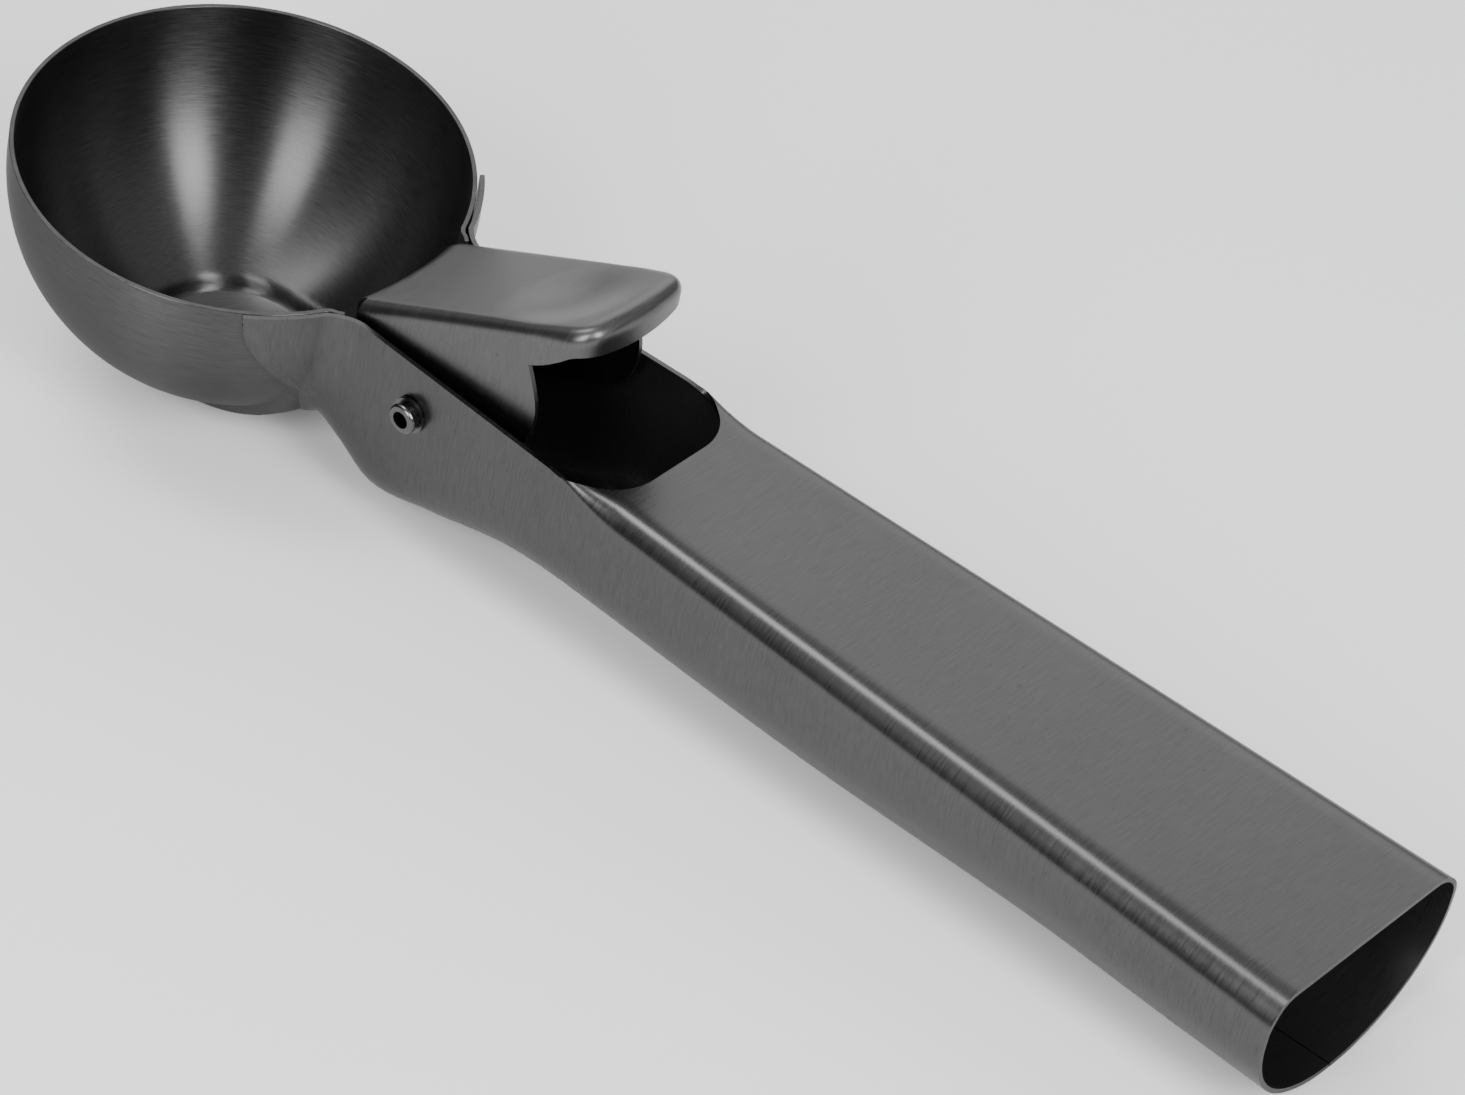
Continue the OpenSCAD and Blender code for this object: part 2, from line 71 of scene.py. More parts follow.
# Handle, where END_LIFT raises the top of the open end over the frame's
HANDLE_LEN = 172.0
END_W = 34.2
END_DROP = 13.6
END_RISE = 5.7
END_LIFT = 1.8
TOP_ROUND = 2.9
END_ROUND = 4.4
ROUND_LEAD = 9.8
ROUND_RUN = 12.0
NECK_W = 20.7
NECK_BACK = 5.6
NECK_DEPTH = 25.2
NECK_RISE = 2.7
SLOT_W = 25.3
SLOT_END = 70.3
SLOT_CORNER = 7.0
EDGE_TURN = 5.0
EDGE_TURN_LEAD = 1.0
WAIST_DEPTH = 16.6
SIDE_POWER_NECK = 5
SIDE_POWER_END = 2
SIDE_POWER_RUN = 0.8
WIDE_DROP_NECK = 2.5
WIDEST_GAP = 0.1
TUBE_MIDDLE = 8.0
EAR_FRONT = 20.0
EAR_SWEEP = 3.2
EAR_DEPTH = 14.5
EAR_REACH_MAX = 14.0
EAR_FILLET = 2.2
EAR_FILLET_SHARE = 0.7
FLOOR_FRONT = 19.0
FLOOR_DEPTH = 18.0
FLOOR_LEAD = (6.0, 3.0)
END_LEAD = (18.0, 1.6)
CHEEK_FRONT = 36.0
SEAM_GAP = 0.16

# Thumb lever
LEVER_W = 18.5
PLATE_SLOPE = math.radians(29.9)
PLATE_RISE = 1.6
PLATE_BEND = 1.5
PAD_END = 61.7
PAD_BOW_R = 30.0
PAD_CORNER = 3.9
SKIRT_SIDE = 5.6
SKIRT_CORNER = 3.8
SKIRT_REAR = 5.0
SKIRT_TURN = 0.9
SKIRT_TURN_SIDE = 0.6
FOLD_R = 1.7
REAR_FOLD_R = 2.2
REAR_FOLD_FROM = 53.0
REAR_FOLD_RUN = 6.0
DISH_R = 8.9
DISH_DEPTH = 1.0
DISH_BACK = 10.2
FLANGE_DROP = 19.0
FLANGE_END = 53.3
FLANGE_FRONT = 5.0
FLANGE_FRONT_BOW = (1.4, 3.0)
FLANGE_BULGE = 2.3
FLANGE_BULGE_DROP = 13.4
FLANGE_BULGE_SHARE = 0.66
FLANGE_BULGE_BOW = 4.5
FLANGE_TOE = 1.3
TIP_X = 2.0

# Pivot and spring
PIVOT_X = 39.5
PIVOT_DROP = 6.3
RIVET_HOLE_R = 1.65
SLEEVE_HOLE_R = 2.25
WIRE_D = 1.0
COIL_D = 6.8
COIL_COUNT = 4
COIL_PITCH = 1.5
UPPER_LEG_ANGLE = 35.0
LOWER_LEG_ANGLE = 42.0

# Clearances
SEAT_GAP = 0.08
EJECTOR_GAP = 0.3
EJECTOR_SINK = 0.15
NOTCH_GAP = 0.5
CHANNEL_GAP = 0.6

# Fineness of the meshes, in rows, columns and points
BAND_ROWS = 3
BOWL_ROWS = 72
BOWL_COLUMNS = 240
NOTCH_COLUMNS = 20
SECTION_POINTS = 64
CORNER_STEPS = 12
SIDE_STEPS = 60
SIDE_CROWDING = 1.3
EAR_ROWS = 10
TURN_ROWS = 8
CHEEK_ROWS = 8
NECK_ROWS = 14
NECK_LAST_ROWS = 6
SLOT_ROWS = 14
TUBE_ROWS = 48
TOP_COLUMNS = 10
PLATE_COLUMNS = 34
PAD_COLUMNS = 4
PAD_TURN_COLUMNS = 8
PLATE_RINGS = 18
FOLD_STEPS = 8
SKIRT_ROWS = 5
FLANGE_ROWS = 25
STRIP_ROWS = 56
PLATE_BEND_ROWS = 7
WING_COLUMNS = 5
WING_FROM = 10
WING_SHOULDER = 4
COIL_STEPS = 120
LOWER_LEG_STEPS = 8
UPPER_LEG_STEPS = 5
WIRE_SIDES = 12

# Distances between rows and columns, by which the brushing is counted where rows follow a curve
BOWL_PITCH = 0.9
FOLD_PITCH = 0.1
STRIP_PITCH = 0.7
WIRE_PITCH = 0.3
COIL_STEP_PITCH = 0.5

# Points nearer than MERGE become one, and searches go on by SEARCH_STEP
MERGE = 0.004
SEARCH_STEP = 0.1

# Values that follow from those above
HALF_SHEET = SHEET / 2
LEVER_HALF = LEVER_W / 2
CHANNEL_DEPTH = SHEET + EJECTOR_GAP + EJECTOR_SINK
CHANNEL_HALF = LEVER_HALF + CHANNEL_GAP
TIP_ANGLE = math.asin(TIP_X / BOWL_R)
BOWL_MID_R = BOWL_R - HALF_SHEET
EAR_MID_R = BOWL_R + SEAT_GAP + HALF_SHEET
STRIP_MID_R = BOWL_R - SHEET + CHANNEL_DEPTH - EJECTOR_GAP - HALF_SHEET
CHEEK_START = math.sqrt(BOWL_R**2 - NECK_W**2 / 4)
TOP_SLOPE = (END_RISE + END_LIFT) / (HANDLE_LEN - CHEEK_START)
NECK_X = BOWL_R + NECK_BACK
SLOT_TURN_X = SLOT_END - SLOT_CORNER
PLATE_TAN = math.tan(PLATE_SLOPE)
PLATE_UPRIGHT = 1 / math.cos(PLATE_SLOPE)
FLAT_HALF = LEVER_HALF - FOLD_R
PAD_TURN = math.asin((LEVER_HALF - PAD_CORNER) / (PAD_BOW_R - PAD_CORNER))
PAD_CORNER_X = PAD_END - PAD_BOW_R + (PAD_BOW_R - PAD_CORNER) * math.cos(PAD_TURN)
SKIRT_TURN_X = PAD_END - PAD_CORNER + SKIRT_TURN
DISH_X = PAD_END - DISH_BACK
PIVOT_Z = -PIVOT_DROP
PIVOT = Vector((PIVOT_X, 0, PIVOT_Z))
BOWL_CENTRE = Vector((0, 0, -RIM_BAND))

# Directions of the spring's legs, in degrees, and the places on the coils where they leave
UPPER_DIR = math.degrees(PLATE_SLOPE) + UPPER_LEG_ANGLE
UPPER_START = UPPER_DIR + 90
LOWER_DIR = -LOWER_LEG_ANGLE
LOWER_START = LOWER_DIR + 270
SPRING_SWEEP = LOWER_START - UPPER_START + 360 * COIL_COUNT
SPRING_HALF = COIL_PITCH * SPRING_SWEEP / 720

# The scoop lies on the back of its channel and on the lower edge of its open end
end_dz = RIM_BAND - END_DROP
bump_r = BOWL_R + CHANNEL_DEPTH
tilt = math.asin(bump_r / math.hypot(HANDLE_LEN, end_dz)) + math.atan2(end_dz, HANDLE_LEN)
front_x = -RIM_BAND * math.sin(tilt) - BOWL_R
rear_x = HANDLE_LEN * math.cos(tilt) + END_RISE * math.sin(tilt)
ground_z = -RIM_BAND * math.cos(tilt) - bump_r
SET_DOWN = Matrix.Translation((-(front_x + rear_x) / 2, 0, -ground_z)) @ Matrix.Rotation(tilt, 4, "Y")
MM = 0.001
TO_ROW = Matrix.Scale(MM, 4) @ SET_DOWN


def lerp(a, b, t):
    return a + (b - a) * t


def ease(t):
    t = min(1.0, max(0.0, t))
    return t * t * (3 - 2 * t)


def bend(p, q, r, t):
    """Point of a quadratic curve from p to r that leaves both towards q."""
    return (1 - t) ** 2 * p + 2 * t * (1 - t) * q + t * t * r


def root(f, low, high, halvings=30):
    """Where f changes sign between low and high."""
    sign = f(low) > 0
    for _ in range(halvings):
        mid = (low + high) / 2
        if (f(mid) > 0) == sign:
            low = mid
        else:
            high = mid
    return (low + high) / 2


def steps(a, b, n):
    """n + 1 even steps from a to b."""
    return [lerp(a, b, i / n) for i in range(n + 1)]


# Sheets


def add_patch(bm, rows, brush, skip=None):
    """Adds quads between neighbouring rows of points. brush(row, column, point) gives the place of a
    point along and across the brushing, and skip(row, column) leaves a quad out."""
    uv = bm.loops.layers.uv.verify()
    verts = [[bm.verts.new(p) for p in row] for row in rows]
    for j in range(len(rows) - 1):
        for i in range(len(rows[0]) - 1):
            if skip and skip(j, i):
                continue
            corners = [(j, i), (j, i + 1), (j + 1, i + 1), (j + 1, i)]
            face = bm.faces.new([verts[a][b] for a, b in corners])
            face.smooth = True
            for loop, (a, b) in zip(face.loops, corners):
                loop[uv].uv = brush(a, b, rows[a][b])


def add_object(name, data):
    obj = bpy.data.objects.new(name, data)
    bpy.context.scene.collection.objects.link(obj)
    return obj


def mesh_object(name, bm, materials=()):
    """Object from a finished mesh in the scoop's working frame, set down on the ground."""
    bm.transform(TO_ROW)
    mesh = bpy.data.meshes.new(name)
    bm.to_mesh(mesh)
    bm.free()
    for material in materials:
        mesh.materials.append(material)
    return add_object(name, mesh)


def apply_modifiers(obj):
    bpy.context.view_layer.update()
    graph = bpy.context.evaluated_depsgraph_get()
    mesh = bpy.data.meshes.new_from_object(obj.evaluated_get(graph))
    obj.modifiers.clear()
    obj.data = mesh


def drill(obj, radius, sides=48, depth=60):
    """Cuts a round hole through the object along the pivot's axis."""
    bm = bmesh.new()
    turn = Matrix.Translation(PIVOT) @ Matrix.Rotation(math.radians(90), 4, "X")
    bmesh.ops.create_cone(
        bm,
        cap_ends=True,
        segments=sides,
        radius1=radius,
        radius2=radius,
        depth=depth,
        matrix=turn,
    )
    bit = mesh_object("drill", bm)
    cut = obj.modifiers.new("hole", "BOOLEAN")
    cut.object = bit
    cut.operation = "DIFFERENCE"
    cut.solver = "EXACT"
    apply_modifiers(obj)
    bpy.data.objects.remove(bit)


def sheet_object(name, bm, outside, materials, hole_r=0):
    """Turns a surface into a sheet with thickness and softly broken edges. outside(point, normal) is
    positive where a face looks outwards. The last material is for the sheet's inside."""
    bmesh.ops.remove_doubles(bm, verts=bm.verts, dist=MERGE)
    bmesh.ops.recalc_face_normals(bm, faces=bm.faces)
    bm.normal_update()
    if sum(outside(f.calc_center_median(), f.normal) for f in bm.faces) < 0:
        bmesh.ops.reverse_faces(bm, faces=bm.faces)
    obj = mesh_object(name, bm, materials)
    thick = obj.modifiers.new("thickness", "SOLIDIFY")
    thick.thickness = SHEET_LOOK * MM
    thick.offset = SHEET / SHEET_LOOK - 1
    thick.use_even_offset = True
    thick.material_offset = len(materials) - 1
    apply_modifiers(obj)
    if hole_r:
        drill(obj, hole_r)
    broken = obj.modifiers.new("broken_edges", "BEVEL")
    broken.width = EDGE_ROUND * MM
    broken.segments = 2
    broken.limit_method = "ANGLE"
    broken.angle_limit = EDGE_ANGLE
    broken.harden_normals = True
    broken.use_clamp_overlap = True
    apply_modifiers(obj)
    return obj


# Bowl


def channel_share(p):
    """Share of the channel's depth at a point, from 1 in the channel to 0 beside it."""
    d = p - BOWL_CENTRE
    if d.z > 0:
        d.z = 0
    d.normalize()
    along = d.x * math.cos(TIP_ANGLE) + d.z * math.sin(TIP_ANGLE)
    beside = abs(d.y) if along > 0 else math.hypot(along, d.y)
    return 1 - ease((beside * BOWL_R - CHANNEL_HALF) / CHANNEL_BLEND)


def on_bowl(x, y, z):
    """The given point, moved straight out from the bowl's centre or axis to its middle surface."""
    p = Vector((x, y, z))
    r = BOWL_MID_R + CHANNEL_DEPTH * channel_share(p)
    if z > -RIM_BAND:
        return Vector((x, y, 0)).normalized() * r + Vector((0, 0, z))
    return BOWL_CENTRE + (p - BOWL_CENTRE).normalized() * r


def bowl_piece(materials):
    """Bowl from rings of its rim band, two rings down to the notch's floor and rings down to the pole,
    which one small face closes."""
    notch_half = math.asin((LEVER_HALF + NOTCH_GAP) / (BOWL_R - SHEET))
    in_notch = steps(-notch_half, notch_half, NOTCH_COLUMNS)
    around = in_notch + steps(notch_half, 2 * math.pi - notch_half, BOWL_COLUMNS)[1:]
    notch_floor = math.asin((NOTCH_DEPTH - RIM_BAND) / BOWL_MID_R)
    notch_rows = BAND_ROWS + 2
    pole_gap = 0.004
    rings = [(BOWL_MID_R, z) for z in steps(0, -RIM_BAND, BAND_ROWS)]
    for a in [notch_floor / 2] + steps(notch_floor, math.pi / 2 - pole_gap, BOWL_ROWS):
        rings.append((BOWL_MID_R * math.cos(a), -RIM_BAND - BOWL_MID_R * math.sin(a)))
    rows = []
    for r, z in rings:
        rows.append([on_bowl(r * math.cos(t), r * math.sin(t), z) for t in around])
    bm = bmesh.new()
    add_patch(
        bm,
        rows,
        lambda j, i, p: (around[i] * BOWL_R * MM, j * BOWL_PITCH * MM),
        lambda j, i: j < notch_rows and i < NOTCH_COLUMNS,
    )
    bmesh.ops.remove_doubles(bm, verts=bm.verts, dist=MERGE)
    open_edges = [e for e in bm.edges if e.is_boundary and e.verts[0].co.z < -BOWL_R]
    bmesh.ops.contextual_create(bm, geom=open_edges)
    return sheet_object("bowl_shell", bm, lambda p, n: n.dot(p - BOWL_CENTRE), materials)


# Handle


def top_z(x):
    """Height of the handle's top."""
    return TOP_SLOPE * (x - CHEEK_START)


def half_width(x):
    """Distance of the handle's outside from the middle plane."""
    if x < SLOT_END:
        return lerp(NECK_W, SLOT_W, (x - CHEEK_START) / (SLOT_END - CHEEK_START)) / 2
    return lerp(SLOT_W, END_W, (x - SLOT_END) / (HANDLE_LEN - SLOT_END)) / 2


def toward_end(x):
    """Share of the way from the neck to the open end."""
    return min(1.0, max(0.0, (x - NECK_X) / (HANDLE_LEN - NECK_X)))


# Bottom line of the handle in the middle plane, through these stations. The first and the last one lie
# outside the handle and only give the line its slope there
STATIONS = [
    (FLOOR_FRONT - FLOOR_LEAD[0], FLOOR_LEAD[1] - FLOOR_DEPTH),
    (FLOOR_FRONT, -FLOOR_DEPTH),
    (BOWL_R, NECK_RISE - NECK_DEPTH),
    (NECK_X, -NECK_DEPTH),
    (lerp(NECK_X, SLOT_END, 0.24), -lerp(NECK_DEPTH, WAIST_DEPTH, 0.31)),
    (lerp(NECK_X, SLOT_END, 0.62), -lerp(NECK_DEPTH, WAIST_DEPTH, 0.86)),
    (SLOT_END, -WAIST_DEPTH),
    (lerp(SLOT_END, HANDLE_LEN, 0.4), -WAIST_DEPTH),
    (lerp(SLOT_END, HANDLE_LEN, 0.8), -lerp(WAIST_DEPTH, END_DROP, 0.5)),
    (HANDLE_LEN, -END_DROP),
    (HANDLE_LEN + END_LEAD[0], END_LEAD[1] - END_DROP),
]


def bottom_z(x):
    """Smooth curve through the stations, with each slope taken from its neighbours."""
    i = 1
    while i < len(STATIONS) - 3 and x > STATIONS[i + 1][0]:
        i += 1
    (x0, z0), (x1, z1) = STATIONS[i], STATIONS[i + 1]
    h = x1 - x0
    t = (x - x0) / h
    slopes = []
    for k in (i, i + 1):
        before, after = STATIONS[k - 1], STATIONS[k + 1]
        slopes.append((after[1] - before[1]) / (after[0] - before[0]))
    return (
        (2 * t**3 - 3 * t**2 + 1) * z0
        + (t**3 - 2 * t**2 + t) * h * slopes[0]
        + (3 * t**2 - 2 * t**3) * z1
        + (t**3 - t**2) * h * slopes[1]
    )


# Half width of the slot's straight rear edge, between its corners
STRAIGHT_HALF = half_width(SLOT_TURN_X) - SHEET - SLOT_CORNER


def turned_in(x):
    """Share by which the slot's edge has turned from the cheek's upright edge into the top sheet's."""
    return ease((x - SLOT_TURN_X + EDGE_TURN_LEAD) / EDGE_TURN)


def slot_edge(x, w):
    """Distance of the top sheet's edge from the middle plane, where w is the cheek's middle."""
    if x >= SLOT_END:
        return STRAIGHT_HALF
    inner = w - HALF_SHEET
    if x > SLOT_TURN_X:
        inner = STRAIGHT_HALF + math.sqrt(SLOT_CORNER**2 - (x - SLOT_TURN_X) ** 2)
    return inner + HALF_SHEET * (1 - turned_in(x))


def end_point(x, y, z):
    """Point of the handle. What END_LIFT raises at the open end is moved forwards, so that it doesn't
    reach past the frame's end when the scoop is set down."""
    if x == HANDLE_LEN:
        x -= math.tan(tilt) * max(0.0, z + HALF_SHEET - END_RISE)
    return Vector((x, y, z))


def section_path(x):
    """Middle surface of the handle's half section as close points (y, z), from its edge or the top's
    middle strip down to the seam at the bottom, and the place of its top corner along them."""
    w = half_width(x) - HALF_SHEET
    top = top_z(x) - HALF_SHEET * turned_in(x)
    bottom = bottom_z(x) + HALF_SHEET
    full_r = lerp(TOP_ROUND, END_ROUND, toward_end(x)) - HALF_SHEET
    r = full_r * ease((x - SLOT_END + ROUND_LEAD) / ROUND_RUN)
    widest = top_z(x) - lerp(WIDE_DROP_NECK, END_RISE, toward_end(x))
    widest = min(widest, top - r - WIDEST_GAP)
    power = 2 / lerp(SIDE_POWER_NECK, SIDE_POWER_END, ease(toward_end(x) / SIDE_POWER_RUN))
    start = slot_edge(x, w)
    path = []
    if start < w - r:
        path.append((start, top))
    first = math.pi / 2
    if r > 0:
        first = math.asin(min(1.0, max(0.0, (start - w + r) / r)))
    for a in steps(first, math.pi / 2, CORNER_STEPS):
        path.append((w - r + r * math.sin(a), top - r + r * math.cos(a)))
    for t in steps(0, 1, SIDE_STEPS):
        a = math.pi / 2 * t**SIDE_CROWDING
        y = max(w * math.cos(a) ** power, SEAM_GAP / 2)
        path.append((y, widest - (widest - bottom) * math.sin(a) ** power))
    return path, w - start + r / 2


def half_section(x):
    """SECTION_POINTS points of the half section, evenly spaced but closer around its top corner."""
    path, corner_at = section_path(x)
    crowding = 3
    crowd_reach = 2.6
    reach = 0.0
    weight = [0.0]
    for p, q in zip(path, path[1:]):
        d = math.hypot(q[0] - p[0], q[1] - p[1])
        off_corner = (reach + d / 2 - corner_at) / crowd_reach
        reach += d
        weight.append(weight[-1] + d * (1 + crowding * math.exp(-(off_corner**2))))
    points = []
    k = 0
    for goal in steps(0, weight[-1], SECTION_POINTS - 1):
        while k < len(path) - 2 and weight[k + 1] < goal:
            k += 1
        share = (goal - weight[k]) / max(1e-9, weight[k + 1] - weight[k])
        p, q = path[k], path[k + 1]
        points.append((lerp(p[0], q[0], share), lerp(p[1], q[1], share)))
    return points


def ear_edge(z):
    """Distance of the ears' front edge from the rim's centre, at a height."""
    return EAR_FRONT + EAR_SWEEP * ease(-z / EAR_DEPTH)


def on_ear(y, z):
    """Point of the ears' middle surface at y and z, found in rounds, as the channel's depth depends on
    it."""
    x = math.sqrt(max(1.0, EAR_MID_R**2 - y * y - (z + RIM_BAND) ** 2))
    for _ in range(4):
        r = EAR_MID_R + CHANNEL_DEPTH * channel_share(Vector((x, y, z)))
        x = math.sqrt(max(1.0, r * r - y * y - min(0.0, z + RIM_BAND) ** 2))
    return Vector((x, y, z))


def behind_ear(p):
    """Distance of a point behind the ears' middle surface, along the handle."""
    return p.x - on_ear(p.y, p.z).x


def front_lines():
    """Rows of the handle's middle surface up to CHEEK_FRONT: the ears from their front edge, their
    inside corner and the front of the cheeks. Each column follows one line of the section forwards."""
    foremost = 17
    place_count = 76
    nearest_corner = 20
    farthest_corner = 33
    places = steps(foremost, CHEEK_FRONT, place_count)
    sections = [half_section(x) for x in places]

    def line(i, x):
        t = (x - places[0]) / (places[1] - places[0])
        k = min(len(places) - 2, max(0, int(t)))
        p, q = sections[k][i], sections[k + 1][i]
        return Vector((x, lerp(p[0], q[0], t - k), lerp(p[1], q[1], t - k)))

    columns = []
    for i in range(SECTION_POINTS):
        x0 = root(lambda x: behind_ear(line(i, x)), nearest_corner, farthest_corner)
        corner = line(i, x0)
        before = line(max(0, i - 1), x0)
        after = line(min(SECTION_POINTS - 1, i + 1), x0)
        out = Vector((0, before.z - after.z, after.y - before.y)).normalized()
        reach = SEARCH_STEP
        while reach < EAR_REACH_MAX:
            p = on_ear(corner.y + out.y * reach, corner.z + out.z * reach)
            if p.x < ear_edge(p.z):
                break
            reach += SEARCH_STEP
        turn = min(EAR_FILLET, EAR_FILLET_SHARE * reach)
        column = []
        for s in steps(reach, turn, EAR_ROWS):
            column.append(on_ear(corner.y + out.y * s, corner.z + out.z * s))
        last, start = column[-1], line(i, x0 + EAR_FILLET)
        column += [bend(last, corner, start, t) for t in steps(0, 1, TURN_ROWS)[1:]]
        column += [line(i, x) for x in steps(x0 + EAR_FILLET, CHEEK_FRONT, CHEEK_ROWS)[1:]]
        columns.append(column)
    return [list(row) for row in zip(*columns)]


def handle_piece(materials):
    """Handle from its front lines and sections behind them, which lie closest at the slot's corners."""
    neck_end = 60
    tube_starts = [SLOT_END + 0.8, SLOT_END + 1.8, SLOT_END + 3.2]
    neck = steps(CHEEK_FRONT, neck_end, NECK_ROWS)[1:]
    neck += steps(neck_end, SLOT_TURN_X, NECK_LAST_ROWS)[1:-1]
    slot_turn = [SLOT_TURN_X + SLOT_CORNER * math.sin(a) for a in steps(0, math.pi / 2, SLOT_ROWS)]
    tube = tube_starts[:-1] + steps(tube_starts[-1], HANDLE_LEN, TUBE_ROWS)
    rows = front_lines()
    for x in neck + slot_turn + tube:
        rows.append([end_point(x, y, z) for y, z in half_section(x)])
    girth = []
    for row in rows:
        lengths = [row[0].y]
        for p, q in zip(row, row[1:]):
            lengths.append(lengths[-1] + (q - p).length)
        girth.append(lengths)
    bm = bmesh.new()
    for side in (1, -1):
        patch = [[Vector((p.x, side * p.y, p.z)) for p in row] for row in rows]
        add_patch(bm, patch, lambda j, i, p: (side * girth[j][i] * MM, p.x * MM))
    top = []
    for x in [SLOT_END] + tube:
        y, z = half_section(x)[0]
        top.append([end_point(x, t * y, z) for t in steps(-1, 1, TOP_COLUMNS)])
    add_patch(bm, top, lambda j, i, p: (p.y * MM, p.x * MM))

    def outwards(p, n):
        return n.dot(Vector((0, p.y, p.z + TUBE_MIDDLE))) if p.x > NECK_X else 0

    return sheet_object("handle_sheet", bm, outwards, materials, RIVET_HOLE_R)


# Thumb lever


def plate_top(x):
    """Height of the plate's upper face, without its dish."""
    return PLATE_RISE + PLATE_TAN * (x - BOWL_R)


def plate_mid(x):
    """Height of the plate's middle surface."""
    return plate_top(x) - HALF_SHEET * PLATE_UPRIGHT


def dish_drop(x, y):
    """Depth of the thumb dish at a point of the plate, measured upright."""
    away = math.hypot((x - DISH_X) * PLATE_UPRIGHT, y) / DISH_R
    return DISH_DEPTH * PLATE_UPRIGHT * (1 - away * away) ** 2 if away < 1 else 0


def strip_point(along, y):
    """Point of the ejector strip, at an angle along it from its round tip's middle."""
    flat = math.sqrt(STRIP_MID_R**2 - y * y)
    a = along + TIP_ANGLE
    return BOWL_CENTRE + Vector((flat * math.sin(a), y, -flat * math.cos(a)))


def strip_top(y, low=1.2, high=1.7):
    """Angle between low and high at which the strip meets the plate's middle surface."""
    return root(lambda a: strip_point(a, y).z - plate_mid(strip_point(a, y).x), low, high)


def plate_front(y):
    """Distance of the plate's front end from the rim's centre, behind its bend."""
    return strip_point(strip_top(y), y).x + PLATE_BEND * math.cos(PLATE_SLOPE)


def strip_column(y):
    """Line of the lever from the plate's front end over the bend and down the strip to its tip."""
    top = strip_top(y)
    corner = strip_point(top, y)
    start = Vector((plate_front(y), y, plate_mid(plate_front(y))))
    low = top - PLATE_BEND / STRIP_MID_R
    tip = -math.sqrt(max(0.0, LEVER_HALF**2 - y * y)) / STRIP_MID_R
    turn = [bend(start, corner, strip_point(low, y), t) for t in steps(0, 1, PLATE_BEND_ROWS)]
    return turn + [strip_point(a, y) for a in steps(low, tip, STRIP_ROWS)[1:]]


def under_plate(x, drop):
    """Point (x, z) of a flange at that drop under the plate's top."""
    return Vector((x, plate_top(x) - drop))


def flange_patch(side, tops):
    """One side flange, in columns from the fold at the given points down to its lower edge. Its front
    edge is bowed. Its rear edge runs down from the lower edge of the pad's skirt, bulges out and comes
    back in, and its first SKIRT_ROWS rows are those of the skirt."""
    y = side * (LEVER_HALF - HALF_SHEET)
    front_top = Vector((tops[0].x, tops[0].z))
    front_low = under_plate(PIVOT_X - FLANGE_FRONT, FLANGE_DROP)
    front_bow = Vector((tops[0].x + FLANGE_FRONT_BOW[0], front_low.y + FLANGE_FRONT_BOW[1]))
    rear_top = Vector((tops[-1].x, tops[-1].z))
    skirt_end = under_plate(FLANGE_END, SKIRT_SIDE)
    bulge = under_plate(FLANGE_END + FLANGE_BULGE, FLANGE_BULGE_DROP)
    bulge_bow = Vector((bulge.x, skirt_end.y - FLANGE_BULGE_BOW))
    rear_low = under_plate(FLANGE_END - FLANGE_TOE, FLANGE_DROP)
    toe_bow = Vector((bulge.x, rear_low.y + FLANGE_TOE))
    at_skirt = SKIRT_ROWS / FLANGE_ROWS
    at_bulge = FLANGE_BULGE_SHARE

    def front_edge(t):
        return bend(front_top, front_bow, front_low, t)

    def rear_edge(t):
        if t < at_skirt:
            return rear_top.lerp(skirt_end, t / at_skirt)
        if t < at_bulge:
            return bend(skirt_end, bulge_bow, bulge, (t - at_skirt) / (at_bulge - at_skirt))
        return bend(bulge, toe_bow, rear_low, (t - at_bulge) / (1 - at_bulge))

    patch = []
    for t in steps(0, 1, FLANGE_ROWS):
        front_swell = front_edge(t) - front_top.lerp(front_low, t)
        rear_swell = rear_edge(t) - rear_top.lerp(rear_low, t)
        line = []
        for top in tops:
            s = (top.x - front_top.x) / (rear_top.x - front_top.x)
            straight = Vector((top.x, top.z)).lerp(front_low.lerp(rear_low, s), t)
            p = straight + front_swell * (1 - s) ** 2 + rear_swell * s**3
            line.append(Vector((p.x, y, p.y)))
        patch.append(line)
    return patch


def pad_outline(sides):
    """Outside of the plate from its front on one side, round the rear of the pad, to its front on the
    other side. Each point (x, y) comes with the direction inwards. sides holds the shares of the
    straight side at which points lie, and the rear edge is bowed between two tight corners."""
    front = plate_front(FLAT_HALF)
    line = [(lerp(front, PAD_CORNER_X, s), -LEVER_HALF, 0, 1) for s in sides]
    for a in steps(math.pi / 2, PAD_TURN, PAD_TURN_COLUMNS)[1:]:
        x, y = math.cos(a), -math.sin(a)
        line.append((PAD_CORNER_X + PAD_CORNER * x, PAD_CORNER - LEVER_HALF + PAD_CORNER * y, -x, -y))
    for a in steps(PAD_TURN, 0, PAD_TURN_COLUMNS)[1:]:
        x, y = math.cos(a), -math.sin(a)
        line.append((PAD_END - PAD_BOW_R + PAD_BOW_R * x, PAD_BOW_R * y, -x, -y))
    return line + [(x, -y, nx, -ny) for x, y, nx, ny in reversed(line[:-1])]


def skirt_drop(x, y):
    """Depth of the pad's skirt under the plate: deep at the flange, shallow at the corners, deeper
    again in the middle of the rear."""
    if x < SKIRT_TURN_X:
        return lerp(SKIRT_SIDE, SKIRT_CORNER, ((x - FLANGE_END) / (SKIRT_TURN_X - FLANGE_END)) ** 2)
    across = min(1.0, abs(y) / (LEVER_HALF - SKIRT_TURN_SIDE))
    return lerp(SKIRT_REAR, SKIRT_CORNER, across**2)


